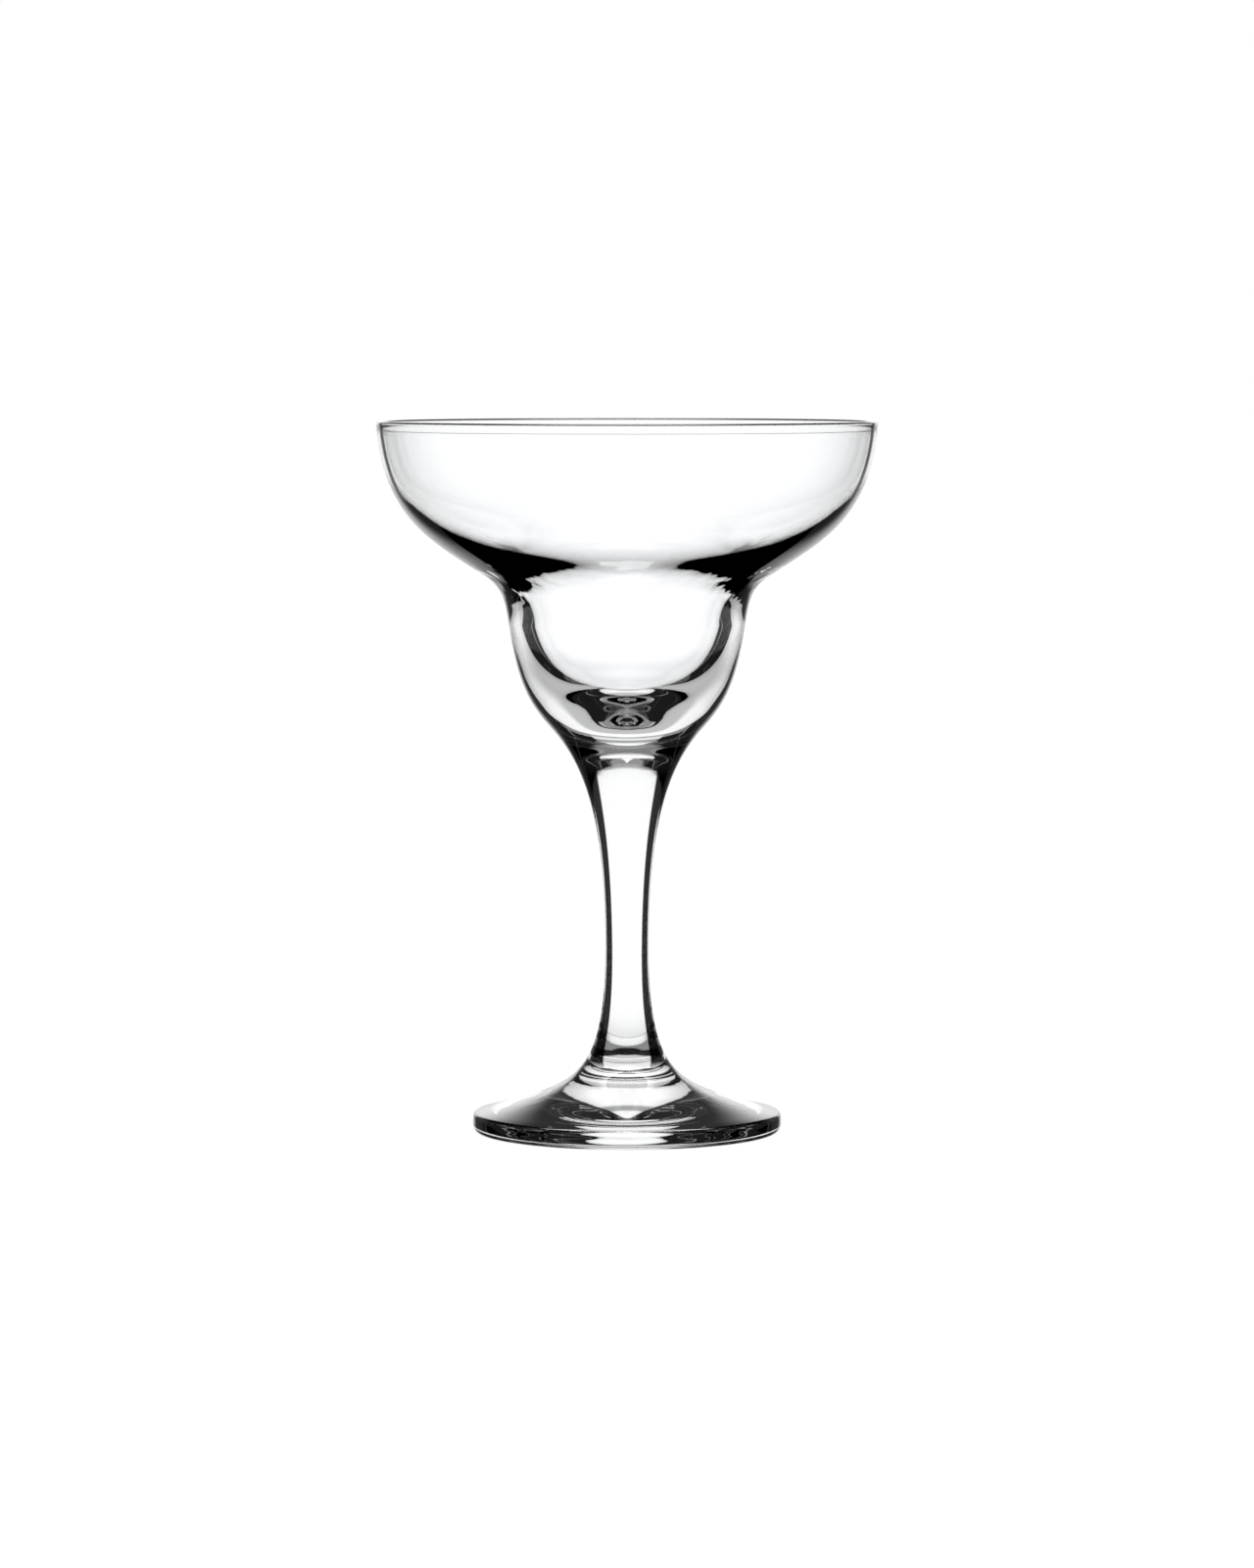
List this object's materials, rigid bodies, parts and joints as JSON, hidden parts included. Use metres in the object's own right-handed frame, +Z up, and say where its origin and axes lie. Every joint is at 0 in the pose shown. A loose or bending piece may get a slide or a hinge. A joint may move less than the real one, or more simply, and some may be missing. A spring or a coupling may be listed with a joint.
{
  "type": "margarita glass",
  "caption": "Clear margarita glass: a wide open coupe steps down to a small round cup, on a solid waisted stem and a round flared foot.",
  "frame": {"origin": "on the table, under the glass's upright axis", "axes": "+Z up along the axis of revolution; +X and +Y are any two level directions, because the glass is round"},
  "size_m": [0.1178, 0.1178, 0.1675],
  "materials": {
    "bowl_glass": "clear, smooth and glossy, fire polished at the rim",
    "stem_glass": "clear, smooth and glossy",
    "foot_glass": "clear, smooth and glossy, with faint pressing marks"
  },
  "bodies": {
    "root": {"bowl": "bowl_glass", "stem": "stem_glass", "foot": "foot_glass"}
  },
  "joints": []
}
